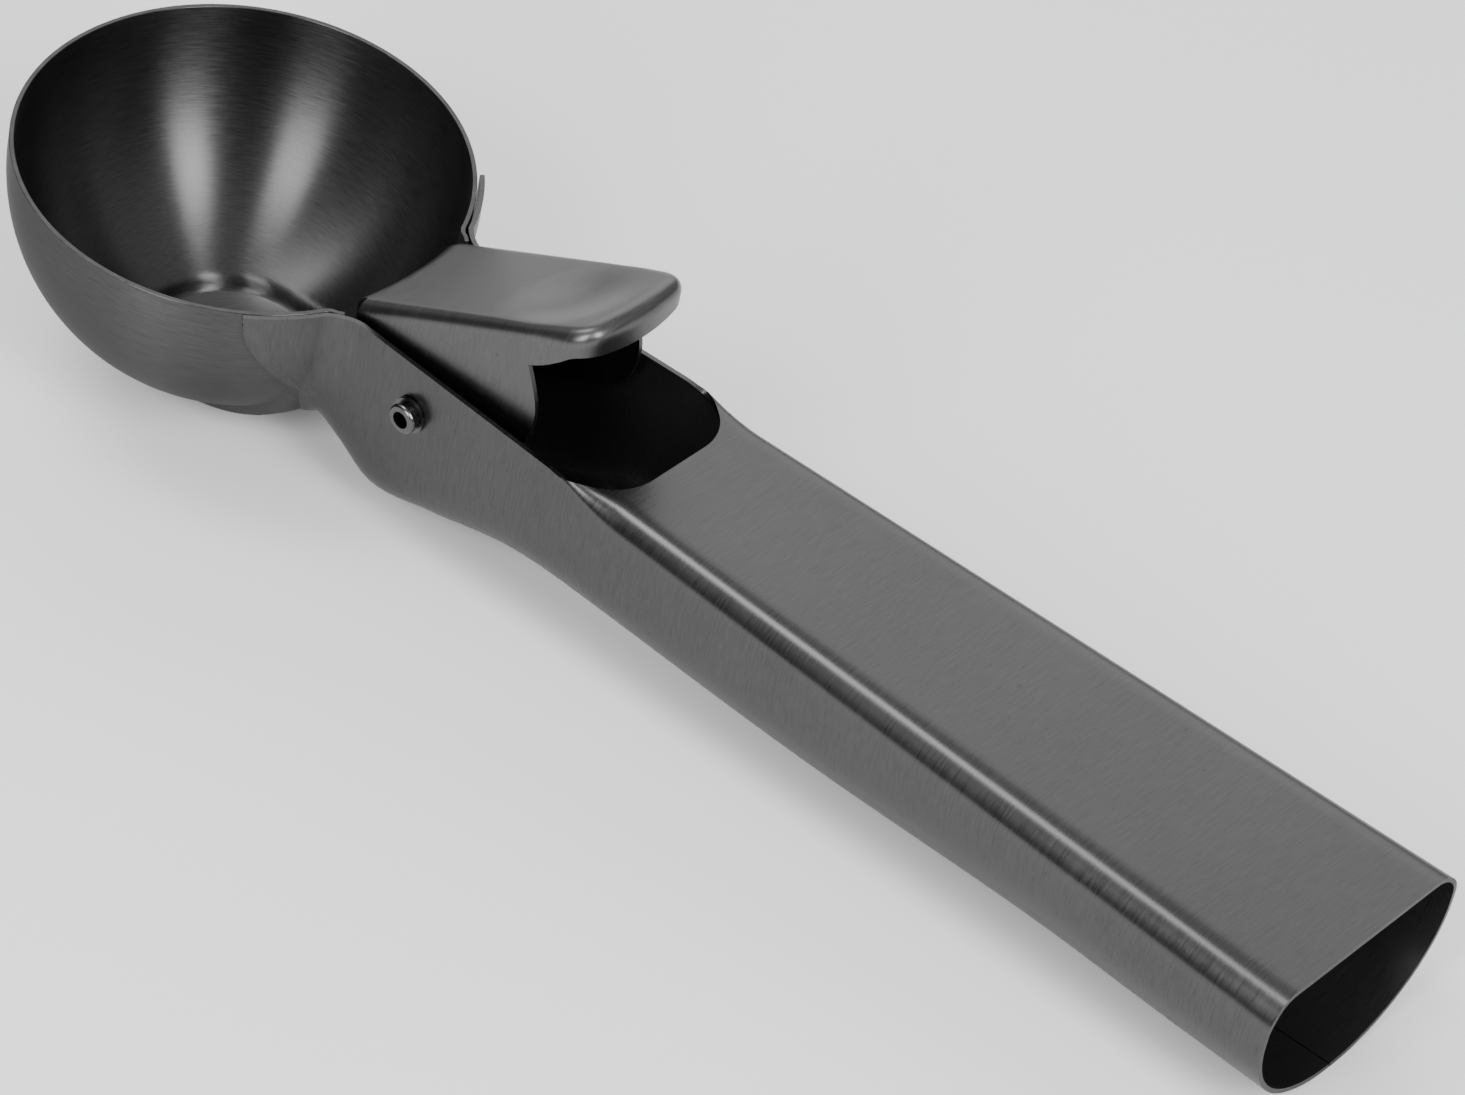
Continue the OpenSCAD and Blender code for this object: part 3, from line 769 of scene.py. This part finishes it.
def plate_rings(sides):
    """Rows of the plate, first over its fold from the tops of the flanges and the skirt, then inwards
    over the flat to the spine, the line in the middle plane on which they end."""
    outline = pad_outline(sides)
    last = len(outline) - 1
    spine_end = PAD_END - LEVER_HALF
    rings = []
    for a in steps(0, math.pi / 2, FOLD_STEPS):
        ring = []
        for x, y, nx, ny in outline:
            fold_r = lerp(FOLD_R, REAR_FOLD_R, ease((x - REAR_FOLD_FROM) / REAR_FOLD_RUN))
            fold_mid = fold_r - HALF_SHEET
            inset = HALF_SHEET + fold_mid * (1 - math.cos(a))
            x, y = x + nx * inset, y + ny * inset
            drop = fold_mid * (1 - math.sin(a)) * PLATE_UPRIGHT + dish_drop(x, y)
            ring.append(Vector((x, y, plate_mid(x) - drop)))
        rings.append(ring)
    fold_end = rings[-1]
    for t in steps(0, 1, PLATE_RINGS)[1:]:
        ring = []
        for k, p in enumerate(fold_end):
            s = sides[min(k, last - k)] if min(k, last - k) < len(sides) else 1
            y = p.y * (1 - t)
            if s < 1:
                x = lerp(plate_front(abs(y)), lerp(PAD_CORNER_X, spine_end, t), s)
            else:
                x = lerp(p.x, spine_end, t)
            ring.append(Vector((x, y, plate_mid(x) - dish_drop(x, y))))
        rings.append(ring)
    return rings


def skirt_rows(tops):
    """Skirt round the rear of the pad, from the given points at the fold down."""
    rows = []
    for t in steps(0, 1, SKIRT_ROWS):
        row = []
        for p in tops:
            low = plate_top(p.x) - skirt_drop(p.x, p.y)
            row.append(Vector((p.x, p.y, lerp(p.z, low, t))))
        rows.append(row)
    return rows


def strip_patches():
    """The ejector strip, whose columns continue the plate's rings, and a narrow wing on each side."""
    levels = [FLAT_HALF * (1 - t) for t in steps(0, 1, PLATE_RINGS)]
    columns = [strip_column(y) for y in [-y for y in levels] + levels[::-1][1:]]
    patches = [[list(row) for row in zip(*columns)]]
    for side in (-1, 1):
        wing = []
        for j in range(WING_FROM, len(columns[0])):
            edge = lerp(FLAT_HALF, LEVER_HALF - MERGE / 2, ease((j - WING_FROM) / WING_SHOULDER))
            wing.append([strip_column(side * y)[j] for y in steps(FLAT_HALF, edge, WING_COLUMNS)])
        patches.append(wing)
    return patches


def lever_piece(materials):
    """Lever from its plate, the pad's skirt, two flanges and the ejector strip."""
    bm = bmesh.new()
    front = plate_front(FLAT_HALF)
    flange_share = (FLANGE_END - front) / (PAD_CORNER_X - front)
    sides = steps(0, flange_share, PLATE_COLUMNS) + steps(flange_share, 1, PAD_COLUMNS)[1:]
    rings = plate_rings(sides)
    add_patch(bm, rings, lambda j, i, p: ((p.y + j * FOLD_PITCH) * MM, p.x * MM))
    lowest = rings[0]
    skirt = skirt_rows(lowest[PLATE_COLUMNS:-PLATE_COLUMNS])
    add_patch(bm, skirt, lambda j, i, p: (p.z * MM, (p.x + p.y) * MM))
    for side, line in ((-1, lowest), (1, lowest[::-1])):
        flange = flange_patch(side, line[: PLATE_COLUMNS + 1])
        add_patch(bm, flange, lambda j, i, p: (p.z * MM, p.x * MM))
    for patch in strip_patches():
        add_patch(bm, patch, lambda j, i, p: (p.y * MM, j * STRIP_PITCH * MM))

    def outwards(p, n):
        return n.z if p.x > NECK_X else 0

    return sheet_object("lever_sheet", bm, outwards, materials, SLEEVE_HOLE_R)


# Return spring


def on_spring(start, direction, s, y):
    """Point of the wire's middle line, from the pivot: s along a leg that leaves the coils at start."""
    r = COIL_D / 2
    a, b = math.radians(start), math.radians(direction)
    return Vector((r * math.cos(a) + s * math.cos(b), y, r * math.sin(a) + s * math.sin(b)))


def upper_leg_length():
    """Length at which the upper leg's end stands just under the plate."""
    lean = math.radians(UPPER_LEG_ANGLE)
    under = (plate_mid(PIVOT_X) - PIVOT_Z) * math.cos(PLATE_SLOPE) - HALF_SHEET
    stand = under - WIRE_D / 2 - EJECTOR_GAP - COIL_D / 2 * math.cos(lean)
    return stand / math.sin(lean)


def lower_leg_length():
    """Length at which the lower leg's end stands just over the neck's floor."""
    reach = 0.0
    while True:
        p = on_spring(LOWER_START, LOWER_DIR, reach, 0)
        over_floor = PIVOT_Z + p.z - WIRE_D / 2 - bottom_z(PIVOT_X + p.x) - SHEET
        if over_floor <= 2 * EJECTOR_GAP:
            return reach
        reach += SEARCH_STEP


def spring_path():
    """Points of the wire's middle line with their angle round the pivot: up the lower leg, round the
    coils and out along the upper leg."""
    path = []
    for s in steps(lower_leg_length(), 0, LOWER_LEG_STEPS):
        path.append((on_spring(LOWER_START, LOWER_DIR, s, -SPRING_HALF), LOWER_START))
    for t in steps(0, 1, COIL_STEPS)[1:-1]:
        a = LOWER_START - SPRING_SWEEP * t
        path.append((on_spring(a, 0, 0, lerp(-SPRING_HALF, SPRING_HALF, t)), a))
    for s in steps(0, upper_leg_length(), UPPER_LEG_STEPS):
        path.append((on_spring(UPPER_START, UPPER_DIR, s, SPRING_HALF), UPPER_START))
    return path


def spring_piece(materials):
    """Torsion spring of round wire along its path."""
    rows = []
    for p, angle in spring_path():
        a = math.radians(angle)
        ring = []
        for b in steps(0, 2 * math.pi, WIRE_SIDES):
            out = Vector((math.cos(b) * math.cos(a), math.sin(b), math.cos(b) * math.sin(a)))
            ring.append(PIVOT + p + out * WIRE_D / 2)
        rows.append(ring)
    bm = bmesh.new()
    add_patch(bm, rows, lambda j, i, p: (i * WIRE_PITCH * MM, j * COIL_STEP_PITCH * MM))
    bmesh.ops.remove_doubles(bm, verts=bm.verts, dist=MERGE)
    ends = [e for e in bm.edges if e.is_boundary]
    bmesh.ops.edgeloop_fill(bm, edges=ends)
    bmesh.ops.recalc_face_normals(bm, faces=bm.faces)
    return mesh_object("spring_wire", bm, materials)


# Materials


class Nodes:
    """A material with short ways to add nodes to it. Most of them return the new node's output."""

    def __init__(self, name):
        self.material = bpy.data.materials.new(name)
        self.material.use_nodes = True
        self.tree = self.material.node_tree
        self.shader = self.tree.nodes["Principled BSDF"]

    def add(self, kind, **settings):
        node = self.tree.nodes.new(kind)
        for key, value in settings.items():
            setattr(node, key, value)
        return node

    def link(self, source, target):
        self.tree.links.new(source, target)

    def set(self, name, value):
        """Sets an input of the shader."""
        self.shader.inputs[name].default_value = value

    def scaled(self, source, scale):
        node = self.add("ShaderNodeMapping")
        node.inputs["Scale"].default_value = scale
        self.link(source, node.inputs["Vector"])
        return node.outputs["Vector"]

    def noise(self, vector, detail, rough=0.5):
        node = self.add("ShaderNodeTexNoise")
        node.inputs["Scale"].default_value = 1.0
        node.inputs["Detail"].default_value = detail
        node.inputs["Roughness"].default_value = rough
        self.link(vector, node.inputs["Vector"])
        return node.outputs["Fac"]

    def ranged(self, source, low, high, start=0.25, end=0.75):
        node = self.add("ShaderNodeMapRange")
        node.inputs["From Min"].default_value = start
        node.inputs["From Max"].default_value = end
        node.inputs["To Min"].default_value = low
        node.inputs["To Max"].default_value = high
        self.link(source, node.inputs["Value"])
        return node.outputs["Result"]

    def math(self, operation, a, b):
        node = self.add("ShaderNodeMath", operation=operation)
        for socket, value in zip(node.inputs, (a, b)):
            if isinstance(value, (int, float)):
                socket.default_value = value
            else:
                self.link(value, socket)
        return node.outputs["Value"]

    def colour(self, grey, tone):
        """Makes the base colour the grey times the tone, which lies around 1."""
        mix = self.add("ShaderNodeMix", data_type="RGBA", blend_type="MULTIPLY")
        mix.inputs["Factor"].default_value = 1.0
        mix.inputs["A"].default_value = (*grey, 1)
        self.link(tone, mix.inputs["B"])
        self.link(mix.outputs["Result"], self.shader.inputs["Base Color"])


def brushed_steel(
    name, grey, roughness, anisotropy, line_depth=0.003, contrast=0.1, at_edge=0.7, metallic=1.0
):
    """Dark brushed sheet. The brushing runs along U, with U and V in metres on the sheet. Patterns are
    scaled in parts per metre, and line_depth is in millimetres. at_edge is the share of brightness that
    is left at a low angle."""
    n = Nodes(name)
    place = n.add("ShaderNodeUVMap").outputs["UV"]
    body = n.add("ShaderNodeTexCoord").outputs["Object"]
    fine = n.noise(n.scaled(place, (300, 3600, 1)), 3, 0.7)
    broad = n.noise(n.scaled(place, (90, 900, 1)), 3, 0.6)
    cloud = n.noise(n.scaled(body, (45, 45, 45)), 3, 0.55)
    lines = n.math("ADD", n.math("MULTIPLY", fine, 0.85), n.math("MULTIPLY", broad, 0.15))
    tone = n.math("MULTIPLY", n.ranged(lines, 1 - contrast, 1 + contrast), n.ranged(cloud, 0.93, 1.07))
    flecks = n.ranged(n.noise(n.scaled(body, (1100, 1100, 1100)), 3, 0.7), 0, 1, 0.64, 0.7)
    handled = n.ranged(n.noise(n.scaled(body, (70, 70, 70)), 1), 0, 0.3, 0.6, 0.66)
    tone = n.math("MULTIPLY", tone, n.math("SUBTRACT", 1.0, n.math("MULTIPLY", flecks, handled)))
    n.colour(grey, tone)
    line_rough = n.ranged(lines, roughness - 0.05, roughness + 0.05)
    n.link(n.math("ADD", line_rough, n.ranged(cloud, -0.02, 0.03)), n.shader.inputs["Roughness"])
    n.set("Metallic", metallic)
    n.set("Anisotropic", anisotropy)
    n.set("Anisotropic Rotation", 0.25)
    n.set("Specular Tint", (at_edge, at_edge, at_edge, 1))
    tangent = n.add("ShaderNodeTangent", direction_type="UV_MAP")
    n.link(tangent.outputs["Tangent"], n.shader.inputs["Tangent"])
    bump = n.add("ShaderNodeBump")
    bump.inputs["Strength"].default_value = 1.0
    bump.inputs["Distance"].default_value = line_depth * MM
    n.link(lines, bump.inputs["Height"])
    n.link(bump.outputs["Normal"], n.shader.inputs["Normal"])
    return n.material


def turned_steel(name, grey, roughness):
    """Metal of the small turned and drawn pieces, with faint tool marks and clouds."""
    n = Nodes(name)
    body = n.add("ShaderNodeTexCoord").outputs["Object"]
    grain = n.noise(n.scaled(body, (900, 900, 900)), 2)
    cloud = n.noise(n.scaled(body, (250, 250, 250)), 2)
    n.colour(grey, n.ranged(cloud, 0.9, 1.08))
    n.link(n.ranged(grain, roughness - 0.03, roughness + 0.04), n.shader.inputs["Roughness"])
    n.set("Metallic", 1.0)
    return n.material


bowl_steel = brushed_steel(
    "bowl_brushed",
    grey=(0.075, 0.075, 0.076),
    roughness=0.34,
    anisotropy=0.9,
    line_depth=0.004,
    contrast=0.3,
    at_edge=0.55,
)
handle_steel = brushed_steel(
    "handle_brushed", grey=(0.08, 0.08, 0.081), roughness=0.29, anisotropy=0.35, contrast=0.2
)
# Painted shade: the handle's inside faces get a darker grey and less metal than its outside, to stand
# in for the shade inside the tube
inside_shade_steel = brushed_steel(
    "handle_inside_painted_shade", grey=(0.06, 0.06, 0.061), roughness=0.3, anisotropy=0.3, metallic=0.85
)
lever_steel = brushed_steel(
    "lever_brushed",
    grey=(0.095, 0.095, 0.096),
    roughness=0.34,
    anisotropy=0.4,
    contrast=0.2,
    at_edge=1.0,
)
rivet_steel = turned_steel("rivet_turned", grey=(0.1, 0.1, 0.102), roughness=0.26)
spring_steel = turned_steel("spring_drawn", grey=(0.18, 0.18, 0.18), roughness=0.3)

# Pieces
bowl = bowl_piece([bowl_steel])
handle = handle_piece([handle_steel, inside_shade_steel])
lever = lever_piece([lever_steel])
spring = spring_piece([spring_steel])
dressed = [
    (bowl, "bowl", "bowl_steel"),
    (handle, "handle", "handle_steel"),
    (lever, "thumb_lever", "lever_steel"),
    (spring, "return_spring", "spring_steel"),
]
body_of_node = {}
for body, names in frame["record"]["behaviour"]["bodies"].items():
    for name in names:
        body_of_node[name] = body
for piece, node, slot in dressed:
    if piece is not spring:
        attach(piece, body_of_node[node])
    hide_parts(node)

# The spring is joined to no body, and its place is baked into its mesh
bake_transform(spring)

# The pieces that keep the frame's own meshes
for node in ("pivot_rivet", "near_washer", "far_washer", "spacer_sleeve"):
    part = frame["nodes"][node]
    part.data.materials.clear()
    part.data.materials.append(rivet_steel)

# Floor, 6 m wide
FLOOR_HALF = 3
corners = [(x * FLOOR_HALF, y * FLOOR_HALF, 0) for x, y in ((-1, -1), (1, -1), (1, 1), (-1, 1))]
floor_mesh = bpy.data.meshes.new("floor")
floor_mesh.from_pydata(corners, [], [(0, 1, 2, 3)])
floor = add_object("floor", floor_mesh)
floor_look = Nodes("floor_pale")
floor_look.set("Base Color", (0.85, 0.85, 0.85, 1))
floor_look.set("Roughness", 0.8)
floor_mesh.materials.append(floor_look.material)


# Light


def area_light(name, place, aim, size, power):
    """Soft box, with its place, aim, width and height in metres and its power in watts."""
    data = bpy.data.lights.new(name, "AREA")
    data.shape = "RECTANGLE"
    data.size, data.size_y = size
    data.energy = power
    obj = add_object(name, data)
    obj.location = place
    obj.rotation_mode = "QUATERNION"
    obj.rotation_quaternion = (Vector(aim) - Vector(place)).to_track_quat("-Z", "Y")


PAD_SPOT = (0.02, 0, 0.02)
RIDGE_SPOT = (0.03, 0, 0.02)
BOWL_SPOT = (-0.07, 0, 0.02)
area_light("back_box", place=(-0.87, 1.08, 0.78), aim=PAD_SPOT, size=(1.4, 1.25), power=9)
area_light("ridge_strip", place=(-0.44, -0.16, 0.92), aim=RIDGE_SPOT, size=(0.25, 0.5), power=3.5)
area_light("right_box", place=(0.87, -0.27, 0.67), aim=BOWL_SPOT, size=(0.34, 0.65), power=12)
area_light("front_box", place=(0.13, -0.93, 0.62), aim=BOWL_SPOT, size=(0.38, 0.65), power=11)

# Surroundings that are dark at the near horizon and bright above and behind, as in a studio. A
# direction's height, plus BEHIND_SHARE of how far it points behind the scoop, gives its brightness
BEHIND_SHARE = 0.35
world = bpy.data.worlds.new("studio")
world.use_nodes = True
sky = world.node_tree
where = sky.nodes.new("ShaderNodeTexCoord")
split = sky.nodes.new("ShaderNodeSeparateXYZ")
behind = sky.nodes.new("ShaderNodeMath")
behind.operation = "MULTIPLY_ADD"
behind.inputs[1].default_value = BEHIND_SHARE
rise = sky.nodes.new("ShaderNodeMapRange")
rise.interpolation_type = "SMOOTHSTEP"
rise.inputs["From Min"].default_value = 0.15
rise.inputs["From Max"].default_value = 0.7
rise.inputs["To Min"].default_value = 0.1
rise.inputs["To Max"].default_value = 0.8
sky.links.new(where.outputs["Generated"], split.inputs["Vector"])
sky.links.new(split.outputs["Y"], behind.inputs[0])
sky.links.new(split.outputs["Z"], behind.inputs[2])
sky.links.new(behind.outputs["Value"], rise.inputs["Value"])
sky.links.new(rise.outputs["Result"], sky.nodes["Background"].inputs["Strength"])
sky.nodes["Background"].inputs["Color"].default_value = (1, 1, 1, 1)
bpy.context.scene.world = world

# Camera at the photograph's place, with its place and aim in metres
EYE = Vector((0.39511, -0.50623, 0.54400))
AIM = Vector((0.00471, 0.00355, 0.01572))
ROLL = math.radians(6.294)
LENS = 176.64
SENSOR_WIDTH = 36
camera_data = bpy.data.cameras.new("camera")
camera_data.lens = LENS
camera_data.sensor_width = SENSOR_WIDTH
camera = add_object("camera", camera_data)
camera.location = EYE
camera.rotation_mode = "QUATERNION"
camera.rotation_quaternion = (AIM - EYE).to_track_quat("-Z", "Y") @ Quaternion((0, 0, 1), ROLL)
bpy.context.scene.camera = camera
